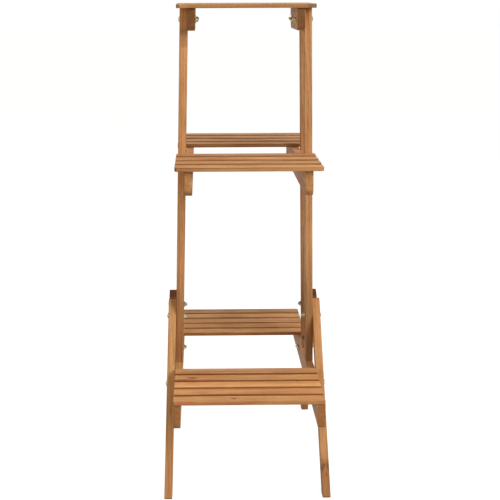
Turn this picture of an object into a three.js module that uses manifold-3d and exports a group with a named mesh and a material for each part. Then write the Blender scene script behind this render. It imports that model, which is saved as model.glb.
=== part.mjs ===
// Tiered two-sided plant stand, oiled hardwood, bolted together from flat boards.
// Millimetres, +Z up, -Y is the front. The origin is on the floor under the middle of the stand.
import * as THREE from "three";
import { mergeVertices } from "three/addons/utils/BufferGeometryUtils.js";
import Module from "manifold-3d";

const manifold = await Module();
manifold.setup();

// ---------------------------------------------------------------- driving dimensions

// Heights of the shelf tops above the floor.
const topShelfHeight = 1200;
const midShelfHeight = 838;
const lowShelfHeight = 290.5;

// The two side frames lean towards each other: distance over the outer faces of their uprights.
const spanAtFloor = 376;
const spanAtTop = 320;

// Shelf slats. One slat stock serves every shelf, only its length and spacing differ.
const slatWidth = 34;
const slatThickness = 10;
const upperSlatCount = 4;
const upperSlatGap = 22.6;
const lowSlatCount = 5;
const lowSlatGap = 11.3;
const topSlatOverhang = 8.5;    // slat end past the outer face of the uprights
const midSlatOverhang = 4;
const lowSlatEndClearance = 0.5;  // the low slats lie between the legs
const topCornerRadius = 12;     // outer corners of the outermost slats, seen from above
const midCornerRadius = 7;
const lowCornerRadius = 4;

// Where the lower shelves start, measured outwards from the outer face of an upright.
const midShelfStart = 16;
const lowShelfStart = 73.5;

// Uprights: two to a side frame.
const uprightWidth = 30;
const uprightSpacing = 101;     // centre to centre, front to rear
const boardThickness = 19;      // uprights and bearers

// Bearers: the horizontal boards on edge that carry the slats, shorter than their shelf.
const topBearerHeight = 53;
const midBearerHeight = 62.5;
const lowBearerHeight = 61;
const topBearerSetback = 7;     // from the outer edge of the shelf to the end of its bearer
const midBearerSetback = 16;
const lowBearerSetback = 3;
const topBearerRound = 12;      // lower corners
const midBearerRound = 22;
const lowBearerRound = 7;

// Splayed legs, outside the side frame.
const legWidth = 30;
const legThickness = 20;
const legFootReach = 274;       // middle of the foot, out from the middle of the stand
const legBoltRise = 124.5;      // upper bolt above the low bearer
const legTail = 43;             // leg past its upper bolt
const legTopRound = 5;
const legFootRound = 4;

// Carriage bolts with washer and nut.
const boltDiameter = 6;
const boltHeadDiameter = 15;
const boltHeadHeight = 3.3;
const washerDiameter = 17;
const washerThickness = 1.5;
const nutAcrossFlats = 10;
const nutHeight = 5;
const boltTail = 2;             // thread past the nut
const boltBoreClearance = 0.8;  // bore over bolt, on the diameter

// Dowels that keep the feet of the uprights on the low bearers.
const dowelDiameter = 8;
const dowelLength = 30;
const dowelBoreClearance = 0.6; // bore over dowel, on the diameter
const dowelEndClearance = 0.5;

// Fits and edges.
const seatGap = 0.3;            // film between any two faces that meet
const edgeRadius = 1.5;         // eased long edges of every board
const edgeSegments = 2;
const cornerSegments = 4;       // per rounded outline corner
const boreSegments = 12;

// ---------------------------------------------------------------- derived sizes

const leanPerHeight = (spanAtFloor - spanAtTop) / 2 / topShelfHeight;
const outerFaceAt = (height) => spanAtFloor / 2 - leanPerHeight * height;

const uprightCentre = uprightSpacing / 2;
const uprightFace = uprightCentre + uprightWidth / 2;
const upperShelfDepth = upperSlatCount * slatWidth + (upperSlatCount - 1) * upperSlatGap;
const lowShelfDepth = lowSlatCount * slatWidth + (lowSlatCount - 1) * lowSlatGap;
const midShelfInner = uprightFace + midShelfStart;
const midShelfOuter = midShelfInner + upperShelfDepth;
const lowShelfInner = uprightFace + lowShelfStart;
const lowShelfOuter = lowShelfInner + lowShelfDepth;

const bearerTopUnder = (shelfHeight) => shelfHeight - slatThickness - seatGap;
const topBearerTop = bearerTopUnder(topShelfHeight);
const midBearerTop = bearerTopUnder(midShelfHeight);
const lowBearerTop = bearerTopUnder(lowShelfHeight);

const topBoltHeight = topBearerTop - topBearerHeight / 2;
const midBoltHeight = midBearerTop - midBearerHeight / 2;
const legUpperBoltHeight = lowBearerTop + legBoltRise;
const legLowerBoltHeight = lowBearerTop - lowBearerHeight / 2;
const legSplay = Math.atan2(legFootReach - uprightCentre, legUpperBoltHeight);
const legLowerBoltReach = legFootReach - legLowerBoltHeight * Math.tan(legSplay);

const boreRadius = (boltDiameter + boltBoreClearance) / 2;

// ---------------------------------------------------------------- materials

const oiledWood = () => new THREE.MeshStandardMaterial({ color: 0xbe8a58, roughness: 0.55, metalness: 0 });
const dowelWood = () => new THREE.MeshStandardMaterial({ color: 0xd9b88a, roughness: 0.7, metalness: 0 });
const zincSteel = () => new THREE.MeshStandardMaterial({ color: 0xb9b2a0, roughness: 0.35, metalness: 1 });

// ---------------------------------------------------------------- shape helpers

// A closed outline through corners [x, y, radius], each rounded by an arc that is tangent to both edges.
function roundedOutline(corners) {
  const shape = new THREE.Shape();
  corners.forEach(([x, y, radius], index) => {
    const corner = new THREE.Vector2(x, y);
    if (radius === 0) {
      if (index === 0) shape.moveTo(x, y);
      else shape.lineTo(x, y);
      return;
    }
    const [beforeX, beforeY] = corners[(index + corners.length - 1) % corners.length];
    const [afterX, afterY] = corners[(index + 1) % corners.length];
    const back = new THREE.Vector2(beforeX, beforeY).sub(corner).normalize();
    const ahead = new THREE.Vector2(afterX, afterY).sub(corner).normalize();
    const halfAngle = Math.acos(back.dot(ahead)) / 2;
    const inwards = back.clone().add(ahead).normalize();
    const centre = corner.clone().addScaledVector(inwards, radius / Math.sin(halfAngle));
    const start = corner.clone().addScaledVector(back, radius / Math.tan(halfAngle)).sub(centre);
    const end = corner.clone().addScaledVector(ahead, radius / Math.tan(halfAngle)).sub(centre);
    const clockwise = ahead.cross(back) < 0;
    shape.absarc(centre.x, centre.y, radius, start.angle(), end.angle(), clockwise);
  });
  shape.closePath();
  return shape;
}

// A rectangle with one radius on its two low corners and another on its two high corners.
function rectangle(left, right, low, high, lowRadius = 0, highRadius = 0) {
  return roundedOutline([
    [left, low, lowRadius],
    [right, low, lowRadius],
    [right, high, highRadius],
    [left, high, highRadius],
  ]);
}

function bore(shape, x, y) {
  const hole = new THREE.Path();
  hole.moveTo(x + boreRadius, y);
  for (let step = 1; step < boreSegments; step++) {
    const angle = (step / boreSegments) * 2 * Math.PI;
    hole.lineTo(x + boreRadius * Math.cos(angle), y + boreRadius * Math.sin(angle));
  }
  hole.closePath();
  shape.holes.push(hole);
}

// A board of the given outline with eased edges, its faces at 0 and at thickness.
function board(shape, thickness) {
  const geometry = new THREE.ExtrudeGeometry(shape, {
    depth: thickness - 2 * edgeRadius,
    bevelThickness: edgeRadius,
    bevelSize: edgeRadius,
    bevelOffset: -edgeRadius,
    bevelSegments: edgeSegments,
    curveSegments: cornerSegments,
  });
  return geometry.translate(0, 0, edgeRadius);
}

// Stands a board drawn as (depth, height) on edge in a side frame, with its outer face at outerX.
function onEdge(geometry, thickness, outerX) {
  const depth = new THREE.Vector3(0, 1, 0);
  const height = new THREE.Vector3(0, 0, 1);
  const outwards = new THREE.Vector3(1, 0, 0);
  geometry.applyMatrix4(new THREE.Matrix4().makeBasis(depth, height, outwards));
  return geometry.translate(outerX - thickness, 0, 0);
}

// The lean of a side frame. Level cuts stay level, so feet and bearer tops stay flat.
function leaned(geometry) {
  const lean = new THREE.Matrix4().set(
    1, 0, -leanPerHeight, spanAtFloor / 2,
    0, 1, 0, 0,
    0, 0, 1, 0,
    0, 0, 0, 1,
  );
  return geometry.applyMatrix4(lean);
}

function toSolid(geometry) {
  const bare = geometry.clone();
  bare.deleteAttribute("normal");
  bare.deleteAttribute("uv");
  const merged = mergeVertices(bare, 1e-4);
  return new manifold.Manifold(new manifold.Mesh({
    numProp: 3,
    vertProperties: new Float32Array(merged.attributes.position.array),
    triVerts: new Uint32Array(merged.index.array),
  }));
}

function fromSolid(solid) {
  const mesh = solid.getMesh();
  const geometry = new THREE.BufferGeometry();
  geometry.setAttribute("position", new THREE.BufferAttribute(new Float32Array(mesh.vertProperties), 3));
  geometry.setIndex(new THREE.BufferAttribute(new Uint32Array(mesh.triVerts), 1));
  return geometry;
}

function named(name, geometry, material) {
  const mesh = new THREE.Mesh(geometry, material);
  mesh.name = name;
  return mesh;
}

// ---------------------------------------------------------------- shelves

// One slat, lying flat. outerSide is -1 or +1 where that long edge has rounded corners, or 0.
function slat(length, top, innerY, outerY, outerSide, cornerRadius) {
  const low = Math.min(innerY, outerY);
  const high = Math.max(innerY, outerY);
  const lowRadius = outerSide < 0 ? cornerRadius : 0;
  const highRadius = outerSide > 0 ? cornerRadius : 0;
  const outline = rectangle(-length / 2, length / 2, low, high, lowRadius, highRadius);
  return board(outline, slatThickness).translate(0, 0, top - slatThickness);
}

// The single shelf at the top, counted from the front.
function topShelf() {
  const shelf = new THREE.Group();
  const length = 2 * (outerFaceAt(topShelfHeight) + topSlatOverhang);
  for (let index = 0; index < upperSlatCount; index++) {
    const front = -upperShelfDepth / 2 + index * (slatWidth + upperSlatGap);
    const outerSide = index === 0 ? -1 : index === upperSlatCount - 1 ? 1 : 0;
    const geometry = slat(length, topShelfHeight, front, front + slatWidth, outerSide, topCornerRadius);
    shelf.add(named(`top_shelf_slat_${index + 1}`, geometry, oiledWood()));
  }
  return shelf;
}

// A shelf on one side of the uprights, counted outwards. side is -1 at the front and +1 at the rear.
function sideShelf(name, side, sizes) {
  const shelf = new THREE.Group();
  for (let index = 0; index < sizes.count; index++) {
    const inner = sizes.inner + index * (slatWidth + sizes.gap);
    const outerSide = index === sizes.count - 1 ? side : 0;
    const geometry = slat(
      sizes.length, sizes.top, side * inner, side * (inner + slatWidth), outerSide, sizes.cornerRadius,
    );
    shelf.add(named(`${name}_slat_${index + 1}`, geometry, oiledWood()));
  }
  return shelf;
}

const midShelfSizes = {
  count: upperSlatCount,
  gap: upperSlatGap,
  inner: midShelfInner,
  top: midShelfHeight,
  length: 2 * (outerFaceAt(midShelfHeight) + midSlatOverhang),
  cornerRadius: midCornerRadius,
};

const lowShelfSizes = {
  count: lowSlatCount,
  gap: lowSlatGap,
  inner: lowShelfInner,
  top: lowShelfHeight,
  length: 2 * (outerFaceAt(lowShelfHeight) - lowSlatEndClearance),
  cornerRadius: lowCornerRadius,
};

// ---------------------------------------------------------------- side frame

// Layers of a side frame, as the outer face of each board before the lean is put in.
const uprightLayer = 0;
const innerBearerLayer = -boardThickness - seatGap;
const legLayer = seatGap + legThickness;

const dowelBoreRadius = (dowelDiameter + dowelBoreClearance) / 2;
const dowelBoreDepth = dowelLength / 2 + dowelEndClearance;

function dowelAt(centreY, radius, length) {
  const cylinder = new THREE.CylinderGeometry(radius, radius, length, boreSegments);
  cylinder.rotateX(Math.PI / 2);
  return cylinder.translate(-boardThickness / 2, centreY, lowBearerTop + seatGap / 2);
}

function upright(centreY) {
  const foot = lowBearerTop + seatGap;
  const outline = rectangle(centreY - uprightWidth / 2, centreY + uprightWidth / 2, foot, topBearerTop);
  bore(outline, centreY, topBoltHeight);
  bore(outline, centreY, midBoltHeight);
  bore(outline, centreY, legUpperBoltHeight);
  const plain = onEdge(board(outline, boardThickness), boardThickness, uprightLayer);
  const dowelBore = dowelAt(centreY, dowelBoreRadius, 2 * dowelBoreDepth + seatGap);
  return fromSolid(toSolid(plain).subtract(toSolid(dowelBore)));
}

// The top and middle bearers lie against the inner faces of the uprights.
function innerBearer(halfLength, top, height, round, boltHeight) {
  const outline = rectangle(-halfLength, halfLength, top - height, top, round);
  bore(outline, -uprightCentre, boltHeight);
  bore(outline, uprightCentre, boltHeight);
  return onEdge(board(outline, boardThickness), boardThickness, innerBearerLayer);
}

// The low bearer lies under the feet of the uprights, between the two pairs of legs.
function lowBearer() {
  const halfLength = lowShelfOuter - lowBearerSetback;
  const low = lowBearerTop - lowBearerHeight;
  const outline = rectangle(-halfLength, halfLength, low, lowBearerTop, lowBearerRound);
  bore(outline, -legLowerBoltReach, legLowerBoltHeight);
  bore(outline, legLowerBoltReach, legLowerBoltHeight);
  let solid = toSolid(onEdge(board(outline, boardThickness), boardThickness, uprightLayer));
  for (const end of [-1, 1]) {
    const dowelBore = dowelAt(end * uprightCentre, dowelBoreRadius, 2 * dowelBoreDepth + seatGap);
    solid = solid.subtract(toSolid(dowelBore));
  }
  return fromSolid(solid);
}

// A splayed leg: level at the foot, cut square at the top. end is -1 or +1 along Y.
function leg(end) {
  const halfFoot = legWidth / 2 / Math.cos(legSplay);
  const axisLength = legUpperBoltHeight / Math.cos(legSplay) + legTail;
  const topY = legFootReach - axisLength * Math.sin(legSplay);
  const topZ = axisLength * Math.cos(legSplay);
  const acrossY = (legWidth / 2) * Math.cos(legSplay);
  const acrossZ = (legWidth / 2) * Math.sin(legSplay);
  const outline = roundedOutline([
    [end * (legFootReach - halfFoot), 0, legFootRound],
    [end * (legFootReach + halfFoot), 0, legFootRound],
    [end * (topY + acrossY), topZ + acrossZ, legTopRound],
    [end * (topY - acrossY), topZ - acrossZ, legTopRound],
  ]);
  bore(outline, end * uprightCentre, legUpperBoltHeight);
  bore(outline, end * legLowerBoltReach, legLowerBoltHeight);
  return onEdge(board(outline, legThickness), legThickness, legLayer);
}

// ---------------------------------------------------------------- bolts

// A made-up bolt along X: domed head against the face at outerX, washer and nut against the one at innerX.
function madeUpBolt(centreY, centreZ, outerX, innerX) {
  const shank = boltDiameter / 2;
  const head = boltHeadDiameter / 2;
  const washer = washerDiameter / 2;
  const headSeat = outerX + seatGap;
  const washerSeat = innerX - seatGap;
  const nutSeat = washerSeat - washerThickness;
  const tip = nutSeat - nutHeight - boltTail;
  const domeSteps = 4;
  const profile = [];
  for (let step = 0; step <= domeSteps; step++) {
    const angle = (step / domeSteps) * (Math.PI / 2);
    profile.push(new THREE.Vector2(head * Math.sin(angle), headSeat + boltHeadHeight * Math.cos(angle)));
  }
  profile[0].x = 0;
  profile.push(
    new THREE.Vector2(shank, headSeat),
    new THREE.Vector2(shank, washerSeat),
    new THREE.Vector2(washer, washerSeat),
    new THREE.Vector2(washer, nutSeat),
    new THREE.Vector2(shank, nutSeat),
    new THREE.Vector2(shank, tip),
    new THREE.Vector2(0, tip),
  );
  const turned = new THREE.LatheGeometry(profile.reverse(), boreSegments);
  const cornerRadius = nutAcrossFlats / 2 / Math.cos(Math.PI / 6);
  const sunk = washerThickness / 2;
  const nut = new THREE.CylinderGeometry(cornerRadius, cornerRadius, nutHeight + sunk, 6);
  nut.translate(0, nutSeat + sunk - (nutHeight + sunk) / 2, 0);
  const bolt = fromSolid(toSolid(turned).add(toSolid(nut)));
  bolt.rotateZ(-Math.PI / 2);
  return bolt.translate(0, centreY, centreZ);
}

// ---------------------------------------------------------------- assembly

// A side frame is the same seen from either side, so the left one is the right one turned half round.
function sideFrame(sideName) {
  const frame = new THREE.Group();
  const add = (name, geometry, material) => frame.add(named(`${sideName}_${name}`, leaned(geometry), material));

  const topHalf = upperShelfDepth / 2 - topBearerSetback;
  const midHalf = midShelfOuter - midBearerSetback;
  const topBearer = innerBearer(topHalf, topBearerTop, topBearerHeight, topBearerRound, topBoltHeight);
  const midBearer = innerBearer(midHalf, midBearerTop, midBearerHeight, midBearerRound, midBoltHeight);
  add("top_bearer", topBearer, oiledWood());
  add("mid_bearer", midBearer, oiledWood());
  add("low_bearer", lowBearer(), oiledWood());

  const bearerInnerFace = innerBearerLayer - boardThickness;
  const ends = sideName === "right" ? { front: -1, rear: 1 } : { front: 1, rear: -1 };
  for (const [endName, end] of Object.entries(ends)) {
    const y = end * uprightCentre;
    const lowerY = end * legLowerBoltReach;
    add(`${endName}_upright`, upright(y), oiledWood());
    add(`${endName}_leg`, leg(end), oiledWood());
    add(`${endName}_foot_dowel`, dowelAt(y, dowelDiameter / 2, dowelLength), dowelWood());
    add(`top_bearer_${endName}_bolt`, madeUpBolt(y, topBoltHeight, uprightLayer, bearerInnerFace), zincSteel());
    add(`mid_bearer_${endName}_bolt`, madeUpBolt(y, midBoltHeight, uprightLayer, bearerInnerFace), zincSteel());
    add(`${endName}_leg_upper_bolt`, madeUpBolt(y, legUpperBoltHeight, legLayer, -boardThickness), zincSteel());
    add(`${endName}_leg_lower_bolt`, madeUpBolt(lowerY, legLowerBoltHeight, legLayer, -boardThickness), zincSteel());
  }
  return frame;
}

const stand = new THREE.Group();
stand.add(topShelf());
stand.add(sideShelf("mid_front_shelf", -1, midShelfSizes));
stand.add(sideShelf("mid_rear_shelf", 1, midShelfSizes));
stand.add(sideShelf("low_front_shelf", -1, lowShelfSizes));
stand.add(sideShelf("low_rear_shelf", 1, lowShelfSizes));
stand.add(sideFrame("right"));
const leftFrame = sideFrame("left");
leftFrame.rotation.z = Math.PI;
stand.add(leftFrame);

export default stand;
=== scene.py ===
"""A two-sided plant stand with five slatted shelves, in oiled hardwood, bolted together from flat boards.

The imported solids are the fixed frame. Each board is shown by a welded copy of its solid with the grain of
its own plank, and each made-up bolt by a turned bolt, a washer and a nut. Metres, +Z up, the front is -Y.
"""

import math
import random

import bmesh
import bpy
from mathutils import Matrix, Vector


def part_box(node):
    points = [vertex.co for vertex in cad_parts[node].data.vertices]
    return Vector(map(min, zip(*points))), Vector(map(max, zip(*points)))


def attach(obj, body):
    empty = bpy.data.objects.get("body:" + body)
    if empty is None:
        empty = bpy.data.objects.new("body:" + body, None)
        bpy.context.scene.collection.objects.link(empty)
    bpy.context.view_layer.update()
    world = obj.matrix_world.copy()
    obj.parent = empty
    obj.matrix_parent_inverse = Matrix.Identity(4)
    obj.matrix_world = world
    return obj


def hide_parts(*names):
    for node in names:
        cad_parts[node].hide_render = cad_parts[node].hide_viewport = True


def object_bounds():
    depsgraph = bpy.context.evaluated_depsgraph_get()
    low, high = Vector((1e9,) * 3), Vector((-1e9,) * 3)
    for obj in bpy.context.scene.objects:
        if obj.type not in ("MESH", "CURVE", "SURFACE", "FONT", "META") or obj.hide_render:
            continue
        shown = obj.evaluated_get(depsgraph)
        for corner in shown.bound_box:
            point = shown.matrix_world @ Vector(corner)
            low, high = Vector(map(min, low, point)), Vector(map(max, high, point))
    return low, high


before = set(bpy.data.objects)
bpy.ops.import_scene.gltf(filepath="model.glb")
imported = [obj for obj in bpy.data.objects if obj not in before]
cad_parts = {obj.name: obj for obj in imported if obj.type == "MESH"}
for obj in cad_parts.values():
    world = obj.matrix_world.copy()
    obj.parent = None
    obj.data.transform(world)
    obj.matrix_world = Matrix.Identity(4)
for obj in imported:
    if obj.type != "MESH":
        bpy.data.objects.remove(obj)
cad_low, cad_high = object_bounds()

# ---------------------------------------------------------------- camera
# A long lens at the height of the top shelf, a little left of the stand's middle and tipped down on it. It
# points somewhat left of the stand, and a small shift brings the stand back to the middle of the frame.

camera_place = (-0.1101, -2.5505, 1.2317)
camera_turn = 0.0135  # towards +X, in radians, as are the dip and the roll
camera_dip = 0.2543
camera_roll = -0.0031
camera_lens, film_width = 72, 36  # in millimetres
camera_shift = 0.07

camera = bpy.data.objects.new("camera", bpy.data.cameras.new("camera"))
camera.data.sensor_width = film_width
camera.data.lens = camera_lens
camera.data.shift_x = camera_shift
camera.matrix_world = (
    Matrix.Translation(camera_place)
    @ Matrix.Rotation(-camera_turn, 4, "Z")
    @ Matrix.Rotation(math.pi / 2 - camera_dip, 4, "X")
    @ Matrix.Rotation(camera_roll, 4, "Z")
)
bpy.context.scene.collection.objects.link(camera)
bpy.context.scene.camera = camera
bpy.context.scene.view_settings.view_transform = "Standard"

# ---------------------------------------------------------------- studio
# A white floor that runs out to a white backdrop, even light all round, and three large soft boxes: the
# key high up in front on the right, a weaker fill in front on the left, and one overhead for the shelves.

floor_half_size = 30
floor_drop = 0.0005
floor_grey = (0.35, 0.35, 0.35, 1)
floor_glow_strength = 0.90
white = (1, 1, 1, 1)


def finish_node(material, node_type, settings=None, sockets=None):
    """One node of a material or world: its settings, then the values or links of its sockets."""
    node = material.node_tree.nodes.new(node_type)
    for setting, value in (settings or {}).items():
        setattr(node, setting, value)
    for socket, value in (sockets or {}).items():
        if isinstance(value, bpy.types.NodeSocket):
            material.node_tree.links.new(value, node.inputs[socket])
        else:
            node.inputs[socket].default_value = value
    return node


def seen_directly(material):
    """One where a camera, glossy or transmission ray looks, so that metal shows the white studio too."""
    path = finish_node(material, "ShaderNodeLightPath")
    two = finish_node(material, "ShaderNodeMath", {"operation": "MAXIMUM"},
                      {0: path.outputs["Is Camera Ray"], 1: path.outputs["Is Glossy Ray"]})
    return finish_node(material, "ShaderNodeMath", {"operation": "MAXIMUM"},
                       {0: two.outputs[0], 1: path.outputs["Is Transmission Ray"]}).outputs[0]


floor_paint = bpy.data.materials.new("white_floor")
floor_paint.use_nodes = True
floor_paint.node_tree.nodes.clear()
floor_matt = finish_node(floor_paint, "ShaderNodeBsdfDiffuse", None, {"Color": floor_grey})
floor_glow = finish_node(floor_paint, "ShaderNodeEmission", None,
                         {"Color": white, "Strength": floor_glow_strength})
floor_white = finish_node(floor_paint, "ShaderNodeAddShader", None,
                          {0: floor_matt.outputs[0], 1: floor_glow.outputs[0]})
floor_mix = finish_node(floor_paint, "ShaderNodeMixShader", None,
                        {0: seen_directly(floor_paint), 1: floor_matt.outputs[0], 2: floor_white.outputs[0]})
finish_node(floor_paint, "ShaderNodeOutputMaterial", None, {"Surface": floor_mix.outputs[0]})

floor = bpy.data.objects.new("floor", bpy.data.meshes.new("floor"))
floor_sheet = bmesh.new()
bmesh.ops.create_grid(floor_sheet, x_segments=1, y_segments=1, size=floor_half_size)
bmesh.ops.translate(floor_sheet, verts=floor_sheet.verts, vec=(0, 0, -floor_drop))
floor_sheet.to_mesh(floor.data)
floor_sheet.free()
floor.data.materials.append(floor_paint)
bpy.context.scene.collection.objects.link(floor)

room_light = 0.32
warm_white = (1, 0.93, 0.82, 1)
room = bpy.data.worlds.new("white_room")
room.use_nodes = True
room.node_tree.nodes.clear()
room_lit = finish_node(room, "ShaderNodeBackground", None, {"Color": warm_white, "Strength": room_light})
room_shown = finish_node(room, "ShaderNodeBackground", None, {"Color": white, "Strength": 1.0})
room_mix = finish_node(room, "ShaderNodeMixShader", None,
                       {0: seen_directly(room), 1: room_lit.outputs[0], 2: room_shown.outputs[0]})
finish_node(room, "ShaderNodeOutputWorld", None, {"Surface": room_mix.outputs[0]})
bpy.context.scene.world = room


def soft_box(name, place, target, size, power):
    """A square soft light that faces a point."""
    lamp = bpy.data.objects.new(name, bpy.data.lights.new(name, "AREA"))
    lamp.data.size = size
    lamp.data.energy = power
    lamp.location = place
    lamp.rotation_mode = "QUATERNION"
    lamp.rotation_quaternion = (Vector(target) - Vector(place)).to_track_quat("-Z", "Y")
    bpy.context.scene.collection.objects.link(lamp)


soft_box("soft_box_key", place=(2.0, -2.0, 2.3), target=(0, 0, 0.6), size=1.8, power=70)
soft_box("soft_box_fill", place=(-2.2, -2.4, 1.6), target=(0, 0, 0.7), size=1.6, power=16)
soft_box("soft_box_top", place=(0.0, 0.3, 3.2), target=(0, 0, 0.7), size=1.8, power=14)

# ---------------------------------------------------------------- slats
# Flat strips of hardwood, 34 x 10 mm, planed and sanded with eased edges. Four make the top shelf and each
# middle shelf, five each low shelf. They lie on the bearers with the grain along their length.

weld_distance = 0.00001
flat_angle = math.radians(1)
board_crease = math.radians(50)


def colour(red, green, blue):
    """A colour as it looks on screen, from 0 to 255, in the linear values of a shader."""
    def linear(level):
        share = level / 255
        return share / 12.92 if share <= 0.04045 else ((share + 0.055) / 1.055) ** 2.4
    return (linear(red), linear(green), linear(blue), 1)


class Amount:
    """A shader socket in sums: 1 - mask * 0.4 adds the Math nodes that work it out."""

    def __init__(self, finish, socket):
        self.finish = finish
        self.socket = socket

    def sum(self, operation, first, second):
        return self.finish.add("ShaderNodeMath", {"operation": operation}, {0: first, 1: second})

    def __add__(self, other):
        return self.sum("ADD", self, other)

    def __sub__(self, other):
        return self.sum("SUBTRACT", self, other)

    def __rsub__(self, other):
        return self.sum("SUBTRACT", other, self)

    def __mul__(self, other):
        return self.sum("MULTIPLY", self, other)

    def __pow__(self, other):
        return self.sum("POWER", self, other)

    def __abs__(self):
        return self.finish.add("ShaderNodeMath", {"operation": "ABSOLUTE"}, {0: self})

    __radd__ = __add__
    __rmul__ = __mul__


class Finish:
    """A material in the making. add() puts in one node and gives its first output, or the one named."""

    def __init__(self, name):
        self.material = bpy.data.materials.new(name)
        self.material.use_nodes = True
        self.shader = self.material.node_tree.nodes["Principled BSDF"]

    def add(self, node_type, settings=None, sockets=None, output=0):
        plain = {
            key: value.socket if isinstance(value, Amount) else value
            for key, value in (sockets or {}).items()
        }
        return Amount(self, finish_node(self.material, node_type, settings, plain).outputs[output])

    def place(self, where, location, rotation=(0, 0, 0), scale=(1, 1, 1), kind="TEXTURE"):
        return self.add("ShaderNodeMapping", {"vector_type": kind}, {
            "Vector": where, "Location": location, "Rotation": rotation, "Scale": scale,
        })

    def noise(self, where, scale, detail=2.0, roughness=0.5):
        return self.add("ShaderNodeTexNoise", None, {
            "Vector": where, "Scale": scale, "Detail": detail, "Roughness": roughness,
        }, "Fac")

    def ease(self, value, start, end):
        """Nought before start, one after end, and a smooth step between them."""
        return self.add("ShaderNodeMapRange", {"interpolation_type": "SMOOTHSTEP"}, {
            "Value": value, "From Min": start, "From Max": end,
        })

    def blend(self, share, first, second, kind="MIX"):
        """Two colours mixed, or the second laid on the first in another way, by a share from 0 to 1."""
        return self.add("ShaderNodeMix", {"data_type": "RGBA", "blend_type": kind}, {
            0: share, 6: first, 7: second,
        }, 2)

    def relief(self, height, strength, distance):
        """A surface that stands up where the height is great, by up to a distance in metres."""
        self.put("Normal", self.add("ShaderNodeBump", None, {
            "Strength": strength, "Distance": distance, "Height": height,
        }))

    def put(self, socket, value):
        if isinstance(value, Amount):
            self.material.node_tree.links.new(value.socket, self.shader.inputs[socket])
        else:
            self.shader.inputs[socket].default_value = value


class Plank:
    """Where a board's wood comes from: the place of the pith, the slope of the grain, knots and tone.

    A knot is its place along the board, its place across it and its radius. An edge knot runs through the
    board's width, so that its second place is in the thickness. A streak is its start and its end along the
    board, its place across it, its half width and its colour. Places are taken from the board's middle."""

    def __init__(self, draw, tone=1.0, knots=(), edge_knots=(), knot_shade=0.7, streaks=(), red=0.5):
        turn = draw.uniform(0, 2 * math.pi)
        reach = draw.uniform(0.026, 0.085)
        self.pith = (reach * math.cos(turn), reach * math.sin(turn))
        self.slope = (draw.uniform(-0.2, 0.2), draw.uniform(-0.2, 0.2))
        self.ring = draw.uniform(0.0034, 0.0058)
        self.seed = draw.uniform(0, 40)
        self.tone = tone * draw.uniform(0.96, 1.04)
        self.red = red + draw.uniform(-0.22, 0.22)
        self.knots = knots
        self.edge_knots = edge_knots
        self.knot_shade = knot_shade
        self.streaks = streaks


knot_squeeze = 0.42  # along the grain, so that a knot is longer than it is wide
knot_raggedness = 0.9  # in radii, as are the heart's edge and the push
knot_heart_edge = (0.35, 1.15)
knot_push_reach = 3.2


def knots_in(finish, plank, board, length_way, width_way, depth_way):
    """The hearts of a plank's knots and how far they push the rings aside, or None for both."""
    hearts, pushes = None, None
    placed = [(width_way, knot) for knot in plank.knots] + [(depth_way, knot) for knot in plank.edge_knots]
    for side_way, (knot_length, knot_side, knot_radius) in placed:
        down = (length_way - knot_length) * knot_squeeze
        aside = side_way - knot_side
        ragged = (finish.noise(board, 260.0) - 0.5) * knot_radius * knot_raggedness
        distance = (down * down + aside * aside) ** 0.5 + ragged
        heart = 1 - finish.ease(distance, *(knot_radius * edge for edge in knot_heart_edge))
        push = 1 - finish.ease(distance, 0.0, knot_radius * knot_push_reach)
        hearts = heart if hearts is None else hearts + heart
        pushes = push if pushes is None else pushes + push
    return hearts, pushes


streak_start_fade, streak_end_fade = 0.012, 0.02
streak_wander = 1.5  # in half widths
streak_depth = 0.75


def streaked(finish, wood, plank, drawn, length_way, width_way):
    """The wood with its plank's streaks laid on, with fading ends and edges that wander."""
    for start, end, width_place, half_width, streak_colour in plank.streaks:
        run = finish.ease(length_way, start - streak_start_fade, start) * (
            1 - finish.ease(length_way, end, end + streak_end_fade))
        wander = abs(width_way - width_place) + (
            finish.noise(drawn, 160.0) - 0.5) * half_width * streak_wander
        inside = 1 - finish.ease(wander, 0.2 * half_width, half_width)
        wood = finish.blend(run * inside * streak_depth, wood, streak_colour)
    return wood


def faces_along(finish, direction):
    """One on faces that look along a direction or against it, and nought on the faces beside them."""
    facing = finish.add("ShaderNodeNewGeometry", None, None, "Normal")
    share = finish.add("ShaderNodeVectorMath", {"operation": "DOT_PRODUCT"},
                       {0: facing, 1: tuple(direction)}, "Value")
    return finish.ease(abs(share), 0.45, 0.9)


pale_wood, deep_wood, rosy_wood = colour(223, 168, 111), colour(162, 106, 61), colour(200, 132, 84)
brown_wood, knot_black = colour(94, 54, 25), colour(58, 34, 20)
ring_squeeze, band_squeeze, pore_squeeze, cloud_squeeze = 0.13, 0.035, 0.11, 0.35  # all along the grain
ring_spacing = 2 * math.pi / 20  # of a ring texture of scale 1, in metres


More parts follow.
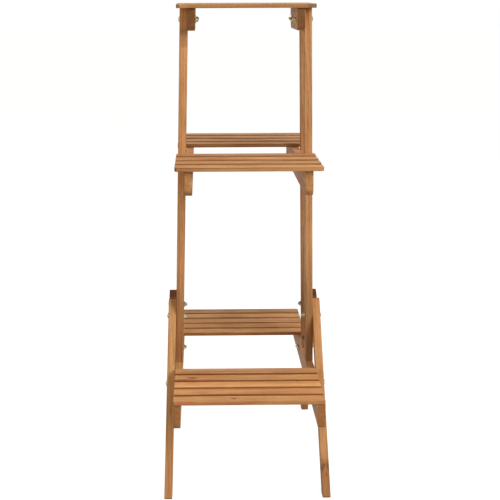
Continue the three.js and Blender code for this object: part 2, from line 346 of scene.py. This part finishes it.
def oiled_hardwood(name, middle, along, across, plank, end_shade=0.4, end_brown=brown_wood, edge_shade=0.0,
                   edge_brown=brown_wood, dark_end=None):
    """Oiled hardwood cut from a plank, with its grain along one direction and its width along another.

    The shades say how far its sawn ends and its narrow edges go towards their browns: the sawn ends as end
    grain drinks more oil, the narrow edges as painted shade in the gaps between slats. A dark end is the two
    places along the board between which it darkens, and by how much; on the uprights it is painted shadow."""
    finish = Finish(name)
    along, across = Vector(along).normalized(), Vector(across).normalized()
    turn = Matrix((along, across, along.cross(across))).transposed().to_euler()
    board = finish.place(finish.add("ShaderNodeTexCoord", None, None, "Object"), middle, turn)
    length_way, width_way, depth_way = (
        finish.add("ShaderNodeSeparateXYZ", None, {0: board}, way) for way in "XYZ")
    knot_heart, knot_push = knots_in(finish, plank, board, length_way, width_way, depth_way)

    # Year rings round a pith that lies outside the board, stretched along the grain.
    pith_place = (plank.seed, -plank.pith[0], -plank.pith[1])
    rings_at = finish.place(board, pith_place, (0, *plank.slope), (ring_squeeze, 1, 1), "POINT")
    ring_sockets = {
        "Vector": rings_at, "Scale": ring_spacing / plank.ring, "Distortion": 7.5,
        "Detail": 2.0, "Detail Scale": 0.32, "Detail Roughness": 0.55,
    }
    if knot_push is not None:
        ring_sockets["Phase Offset"] = knot_push * 9.0
    rings = finish.add("ShaderNodeTexWave", {
        "wave_type": "RINGS", "rings_direction": "X", "wave_profile": "SAW",
    }, ring_sockets, "Fac")
    late_wood = rings ** 2.2

    # Bands and fibres are drawn out far along the grain, open pores less so, and clouds of oil least.
    def drawn_out(squeeze):
        return finish.place(board, (plank.seed, 0, 0), scale=(squeeze, 1, 1), kind="POINT")

    drawn = drawn_out(band_squeeze)
    bands = finish.noise(drawn, 110.0, 3.0, 0.6)
    fibre = finish.noise(drawn, 900.0, 2.0, 0.6)
    pores = finish.ease(finish.noise(drawn_out(pore_squeeze), 760.0, 1.0), 0.60, 0.72)
    cloud = finish.noise(drawn_out(cloud_squeeze), 26.0)

    depth = late_wood * 0.38 + (bands - 0.5) * 1.1 + (cloud - 0.5) * 1.0 + (fibre - 0.5) * 0.5 + 0.31
    wood = finish.blend(finish.ease(depth, 0.05, 1.0), pale_wood, deep_wood)
    warmth = finish.ease(finish.noise(drawn, 42.0), 0.35, 0.75)
    wood = finish.blend(warmth * plank.red, wood, rosy_wood)
    wood = finish.blend(pores * 0.28, wood, brown_wood)
    if dark_end:
        light_place, dark_place, dark_share = dark_end
        wood = finish.blend(finish.ease(length_way, light_place, dark_place) * dark_share, wood, brown_wood)
    wood = streaked(finish, wood, plank, drawn, length_way, width_way)
    if knot_heart is not None:
        wood = finish.blend(finish.ease(knot_push, 0.25, 0.95) * 0.36, wood, brown_wood)
        wood = finish.blend(finish.ease(knot_heart, 0.2, 0.9) * plank.knot_shade, wood, knot_black)

    end_grain = faces_along(finish, along)
    wood = finish.blend(end_grain * end_shade, wood, end_brown)
    if edge_shade:
        wood = finish.blend(faces_along(finish, across) * edge_shade, wood, edge_brown)
    wood = finish.blend(1.0, wood, (plank.tone,) * 3 + (1,), "MULTIPLY")

    finish.put("Base Color", wood)
    finish.put("Roughness", 0.56 + late_wood * 0.06 + pores * 0.2 + end_grain * 0.15 + (cloud - 0.5) * 0.15)
    finish.relief((fibre - 0.5) * 0.5 - pores * 0.7 + late_wood * 0.25, strength=0.35, distance=0.00035)
    finish.put("Specular IOR Level", 0.16)
    return finish.material


def finished_piece(mesh, piece_name, crease):
    """The piece that a bmesh makes, smooth all over apart from edges sharper than the crease."""
    for edge in mesh.edges:
        edge.smooth = edge.calc_face_angle(0) < crease
    for face in mesh.faces:
        face.smooth = True
        face.material_index = 0
    piece = bpy.data.objects.new(piece_name, bpy.data.meshes.new(piece_name))
    mesh.to_mesh(piece.data)
    mesh.free()
    bpy.context.scene.collection.objects.link(piece)
    return piece


def sanded_board(node, piece_name):
    """A welded copy of a board's solid. Its flats stay flat, and its eased edges and corners are smooth."""
    mesh = bmesh.new()
    mesh.from_mesh(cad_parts[node].data)
    bmesh.ops.remove_doubles(mesh, verts=mesh.verts, dist=weld_distance)
    bmesh.ops.dissolve_limit(
        mesh, angle_limit=flat_angle, verts=mesh.verts, edges=mesh.edges, use_dissolve_boundaries=False,
    )
    piece = finished_piece(mesh, piece_name, board_crease)
    for old in ("custom_normal", "UVMap"):
        if old in piece.data.attributes:
            piece.data.attributes.remove(piece.data.attributes[old])
    flats = piece.modifiers.new("flat_faces", "WEIGHTED_NORMAL")
    flats.keep_sharp = True
    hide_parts(node)
    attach(piece, "root")
    return piece


def middle_of(node):
    low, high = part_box(node)
    return (low + high) / 2


slat_draw = random.Random(411)
slat_end_shade = 0.6
red_streak, brown_streak = colour(198, 118, 82), colour(132, 78, 36)
grey_end, pale_end = colour(138, 110, 88), colour(236, 186, 136)
slat_marks = {
    "top_shelf_slat_1": {
        "streaks": [(0.152, 0.2, -0.017, 0.024, grey_end), (-0.2, -0.155, -0.017, 0.024, pale_end)],
    },
    "low_front_shelf_slat_2": {
        "knots": [(-0.135, -0.003, 0.0046)],
        "streaks": [
            (-0.19, -0.142, -0.0145, 0.006, brown_streak),
            (-0.14, -0.05, -0.015, 0.004, red_streak),
        ],
    },
    "low_front_shelf_slat_3": {"red": 0.15},
    "low_front_shelf_slat_5": {
        "knots": [(-0.036, 0.002, 0.0032)],
        "streaks": [(-0.17, -0.14, -0.015, 0.004, red_streak)],
    },
}
# Tones of the slats; those of the low rear shelf, lighter towards its front slat, are painted light.
slat_tones_and_light = {  # one for each slat
    "top_shelf": (1.08, 1.0, 1.0, 1.0),
    "mid_front_shelf": (0.98, 1.12, 1.02, 1.08),
    "mid_rear_shelf": (0.82, 0.84, 0.84, 0.86),
    "low_front_shelf": (1.0, 1.18, 1.42, 1.14, 1.12),
    "low_rear_shelf": (1.25, 1.08, 1.0, 0.98, 0.76),
}
# The slats' narrow edges are darkened as painted shade in the gaps between them, less on the outermost slat.
gap_shade_brown, orange_brown = colour(112, 66, 34), colour(140, 77, 25)
shelf_edges = {  # how dark the edges of the inner and of the outermost slats are, and their brown
    "top_shelf": (0.4, 0.3, gap_shade_brown),
    "mid_front_shelf": (0.55, 0.3, gap_shade_brown),
    "mid_rear_shelf": (0.5, 0.4, gap_shade_brown),
    "low_front_shelf": (0.85, 0.2, orange_brown),
    "low_rear_shelf": (0.55, 0.4, gap_shade_brown),
}
for shelf, tones in slat_tones_and_light.items():
    inner_shade, outermost_shade, edge_brown = shelf_edges[shelf]
    for number, tone in enumerate(tones, 1):
        node = f"{shelf}_slat_{number}"
        plank = Plank(slat_draw, tone, **slat_marks.get(node, {}))
        slat = sanded_board(node, f"{node}_board")
        slat.data.materials.append(oiled_hardwood(
            f"{node}_wood", middle_of(node), (1, 0, 0), (0, 1, 0), plank, end_shade=slat_end_shade,
            edge_shade=outermost_shade if number == len(tones) else inner_shade, edge_brown=edge_brown,
        ))

# ---------------------------------------------------------------- uprights
# Four posts of 30 x 19 mm, two in each side frame. The frames lean towards each other, so the posts do too.
# They stand on the low bearers and run up to the top shelf.

floor_spread, top_spread = 0.376, 0.320  # over the uprights, at the floor and at the top
lean = (floor_spread - top_spread) / 2 / cad_high.z
upright_draw = random.Random(87)
sides = {"left": -1, "right": 1}
ends = {"front": -1, "rear": 1}
# The posts darken towards the foot: painted shadow of the legs and the low shelf.
upright_foot_shadows = {"left": (-0.15, -0.38, 0.42), "right": (-0.08, -0.36, 0.50)}  # darker towards the foot
# The left front post's streak just under the top shelf is painted shadow of that shelf.
painted_shelf_shadow = colour(170, 122, 78)
upright_marks = {
    ("left", "front"): {"tone": 1.13, "red": 0.35, "streaks": [(0.368, 0.398, 0.0, 0.06, painted_shelf_shadow)]},
    ("left", "rear"): {"tone": 0.82},
    ("right", "front"): {"tone": 1.06},
    ("right", "rear"): {"tone": 0.80, "knots": [(-0.425, -0.015, 0.0024)]},
}
for side, sign in sides.items():
    for end in ends:
        node = f"{side}_{end}_upright"
        upright = sanded_board(node, f"{node}_board")
        grain = (-sign * lean, 0, 1)
        plank = Plank(upright_draw, **upright_marks[side, end])
        upright.data.materials.append(oiled_hardwood(
            f"{node}_wood", middle_of(node), grain, (0, 1, 0), plank, dark_end=upright_foot_shadows[side],
        ))

# ---------------------------------------------------------------- bearers
# Boards on edge, 19 mm thick, that run from front to rear and carry the slats. The top and the middle ones
# are bolted inside the uprights, and the low ones lie under the uprights' feet.

bearer_draw = random.Random(53)
bearer_ends = {"top": (0.78, brown_wood), "mid": (0.04, brown_wood), "low": (0.5, orange_brown)}
for side, sign in sides.items():
    for level, (end_shade, end_brown) in bearer_ends.items():
        node = f"{side}_{level}_bearer"
        bearer = sanded_board(node, f"{node}_board")
        rise = (-sign * lean, 0, 1)
        bearer.data.materials.append(oiled_hardwood(
            f"{node}_wood", middle_of(node), (0, 1, 0), rise, Plank(bearer_draw),
            end_shade=end_shade, end_brown=end_brown,
        ))

# ---------------------------------------------------------------- legs
# Four splayed legs of 30 x 20 mm outside the side frames, cut level at the foot and square at the top.
# Each is bolted to an upright above and to the low bearer below.

leg_foot_reach = 0.274  # from the middle of the stand to the front or the rear, as is the bolt's reach
leg_bolt_reach = 0.0505
leg_bolt_height = 0.4047
splay = math.atan2(leg_foot_reach - leg_bolt_reach, leg_bolt_height)
leg_draw = random.Random(29)
leg_end_shade = 0.95
foot_streak = colour(158, 102, 58)
leg_marks = {
    ("right", "front"): {
        "edge_knots": [
            (-0.188, 0.0075, 0.0024), (-0.183, -0.0080, 0.0026),
            (-0.1805, 0.002, 0.0018), (-0.204, -0.002, 0.0016),
        ],
        "knot_shade": 0.5,
        "streaks": [(-0.30, -0.176, -0.004, 0.030, foot_streak)],
    },
}
leg_tips = {"front": None, "rear": (0.226, 0.240, 0.75)}  # the rear legs' tops are dark
for side, sign in sides.items():
    for end, way in ends.items():
        node = f"{side}_{end}_leg"
        leg = sanded_board(node, f"{node}_board")
        grain = (-sign * lean * math.cos(splay), -way * math.sin(splay), math.cos(splay))
        width = (0, math.cos(splay), way * math.sin(splay))
        plank = Plank(leg_draw, **leg_marks.get((side, end), {}))
        leg.data.materials.append(oiled_hardwood(
            f"{node}_wood", middle_of(node), grain, width, plank,
            end_shade=leg_end_shade, dark_end=leg_tips[end],
        ))

# ---------------------------------------------------------------- dowels
# Plain beech pins, 8 mm thick, hidden in the feet of the uprights and the tops of the low bearers. They
# have the same grain as the boards, in a paler and less red tone.

dowel_draw = random.Random(7)
for side in sides:
    for end in ends:
        node = f"{side}_{end}_foot_dowel"
        dowel = sanded_board(node, f"{node}_pin")
        dowel.data.materials.append(oiled_hardwood(
            f"{node}_wood", middle_of(node), (0, 0, 1), (0, 1, 0), Plank(dowel_draw, tone=1.15, red=0.25),
        ))

# ---------------------------------------------------------------- bolts
# Sixteen zinc-plated carriage bolts, M6: a domed head outside, a square neck in the wood, and a plain washer
# and a hexagon nut inside, with the end of the thread standing out of the nut.

head_radius, head_height = 0.0075, 0.0033
head_rim = 0.00002
dome_steps, dome_power = 8, 1.15  # a power of 1 would make it an ellipse
neck_half, neck_length, neck_gap = 0.003, 0.0035, 0.0001
shank_radius, thread_depth, thread_pitch, thread_turns = 0.003, 0.0005, 0.001, 14
point_shoulder, point_ease = 0.0002, 0.0008
washer_radius, washer_bore, washer_thickness, washer_ease = 0.0085, 0.0032, 0.0015, 0.0003
nut_half_flats, nut_height, nut_sides = 0.005, 0.005, 6
nut_cut_angle, nut_cut_steps = math.radians(30), 36
nut_cut_start = 0.97  # as a share of half the width over the flats
cut_tolerance = 0.0000005
tail_length = 0.002
seat_film = 0.0003
turn_steps = 32
metal_crease = math.radians(28)


def turned(mesh, profile):
    """Spins a profile of (radius, height) about Z. It starts and ends on the axis, or closes on itself."""
    verts = [mesh.verts.new((radius, 0, height)) for radius, height in profile]
    edges = [mesh.edges.new(pair) for pair in zip(verts, verts[1:])]
    bmesh.ops.spin(mesh, geom=verts + edges, cent=(0, 0, 0), axis=(0, 0, 1), dvec=(0, 0, 0),
                   angle=2 * math.pi, steps=turn_steps, use_merge=True)
    bmesh.ops.remove_doubles(mesh, verts=mesh.verts, dist=weld_distance)


def carriage_bolt(mesh, grip):
    """The bolt along Z: its dome on top with the seat at 0, its threaded end down.

    The grip is the wood between the seat and the film under the washer. The thread is cut as plain rings."""
    dome = []
    for step in range(dome_steps + 1):
        angle = math.pi / 2 * step / dome_steps
        dome.append((head_radius * math.sin(angle), head_height * math.cos(angle) ** dome_power))
    rim = [(head_radius, -head_rim), (shank_radius, -head_rim)]
    tip = -(grip + 2 * seat_film + washer_thickness + nut_height + tail_length)
    thread = []
    height = tip + thread_turns * thread_pitch
    while height > tip + thread_pitch:
        thread += [(shank_radius, height), (shank_radius - thread_depth, height - thread_pitch / 2)]
        height -= thread_pitch
    point = [(shank_radius - point_shoulder, tip + point_ease), (shank_radius - point_ease, tip), (0, tip)]
    turned(mesh, dome + rim + thread + point)
    neck = bmesh.ops.create_cube(mesh, size=2 * neck_half)["verts"]
    bmesh.ops.scale(mesh, verts=neck, vec=(1, 1, neck_length / (2 * neck_half)))
    bmesh.ops.translate(mesh, verts=neck, vec=(0, 0, -neck_length / 2 - neck_gap))


def plain_washer(mesh, grip):
    """A flat ring under the nut, with its outer edges eased."""
    top = -(grip + 2 * seat_film)
    low = top - washer_thickness
    turned(mesh, [
        (washer_bore, top), (washer_radius - washer_ease, top), (washer_radius, top - washer_ease),
        (washer_radius, low + washer_ease), (washer_radius - washer_ease, low), (washer_bore, low),
        (washer_bore, top),
    ])


def hexagon_nut(mesh, grip):
    """A nut with its corners turned off at both ends as on a real one. It has no bore: the bolt fills it."""
    corner = nut_half_flats / math.cos(math.pi / nut_sides)
    top = -(grip + 2 * seat_film + washer_thickness)
    bmesh.ops.create_circle(mesh, segments=nut_sides, radius=corner, cap_ends=True)
    rise = bmesh.ops.extrude_face_region(mesh, geom=mesh.faces[:])
    lifted = [item for item in rise["geom"] if isinstance(item, bmesh.types.BMVert)]
    bmesh.ops.translate(mesh, verts=lifted, vec=(0, 0, nut_height))
    for step in range(nut_cut_steps):
        turn = 2 * math.pi * step / nut_cut_steps
        out = Vector((math.cos(turn), math.sin(turn), 0))
        for level, way in ((0, -1), (nut_height, 1)):
            start = out * nut_half_flats * nut_cut_start + Vector((0, 0, level))
            slope = out * math.sin(nut_cut_angle) + Vector((0, 0, way * math.cos(nut_cut_angle)))
            cut = bmesh.ops.bisect_plane(
                mesh, geom=mesh.verts[:] + mesh.edges[:] + mesh.faces[:], dist=cut_tolerance,
                plane_co=start, plane_no=slope, clear_outer=True,
            )
            rim = [item for item in cut["geom_cut"] if isinstance(item, bmesh.types.BMEdge)]
            if rim:
                bmesh.ops.holes_fill(mesh, edges=rim)
    bmesh.ops.recalc_face_normals(mesh, faces=mesh.faces)
    bmesh.ops.translate(mesh, verts=mesh.verts, vec=(0, 0, top - nut_height))


bright_zinc, tarnished_zinc, rubbed_zinc = colour(228, 219, 182), colour(112, 103, 74), colour(84, 78, 62)


def zinc_plate(name, seed):
    """Zinc plating with a faint yellow cast, tarnished in patches and rubbed a little duller in places."""
    finish = Finish(name)
    here = finish.place(finish.add("ShaderNodeTexCoord", None, None, "Object"), (seed, 0, 0))
    cloud = finish.noise(here, 420.0, 3.0)
    tarnish = finish.ease(finish.noise(here, 190.0), 0.44, 0.60)
    scuff = finish.ease(finish.noise(here, 1500.0), 0.5, 0.7)
    plate = finish.blend(tarnish, bright_zinc, tarnished_zinc)
    finish.put("Base Color", finish.blend(scuff * 0.4, plate, rubbed_zinc))
    finish.put("Metallic", 1.0)
    finish.put("Roughness", 0.24 + cloud * 0.12 + scuff * 0.15)
    finish.relief(cloud, strength=0.15, distance=0.0001)
    return finish.material


zinc = zinc_plate("zinc_plate", seed=3.0)


def metal_piece(make, piece_name, node, sign):
    """One piece of a made-up bolt, stood where its node is, with its axis square to the leaning boards."""
    low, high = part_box(node)
    length = high.x - low.x
    grip = length - head_height - 2 * seat_film - washer_thickness - nut_height - tail_length
    outer_seat = (high.x if sign > 0 else low.x) - sign * head_height
    mesh = bmesh.new()
    make(mesh, grip)
    bmesh.ops.recalc_face_normals(mesh, faces=mesh.faces)
    out = Vector((sign, 0, lean)).normalized()
    stand = out.to_track_quat("Z", "Y").to_matrix().to_4x4()
    place = Vector((outer_seat, *middle_of(node).yz))
    bmesh.ops.transform(mesh, matrix=Matrix.Translation(place) @ stand, verts=mesh.verts)
    piece = finished_piece(mesh, piece_name, metal_crease)
    piece.data.materials.append(zinc)
    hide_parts(node)
    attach(piece, "root")


for side, sign in sides.items():
    for end in ends:
        for joint in (f"top_bearer_{end}", f"mid_bearer_{end}", f"{end}_leg_upper", f"{end}_leg_lower"):
            node = f"{side}_{joint}_bolt"
            metal_piece(carriage_bolt, f"{side}_{joint}_carriage_bolt", node, sign)
            metal_piece(plain_washer, f"{side}_{joint}_washer", node, sign)
            metal_piece(hexagon_nut, f"{side}_{joint}_nut", node, sign)
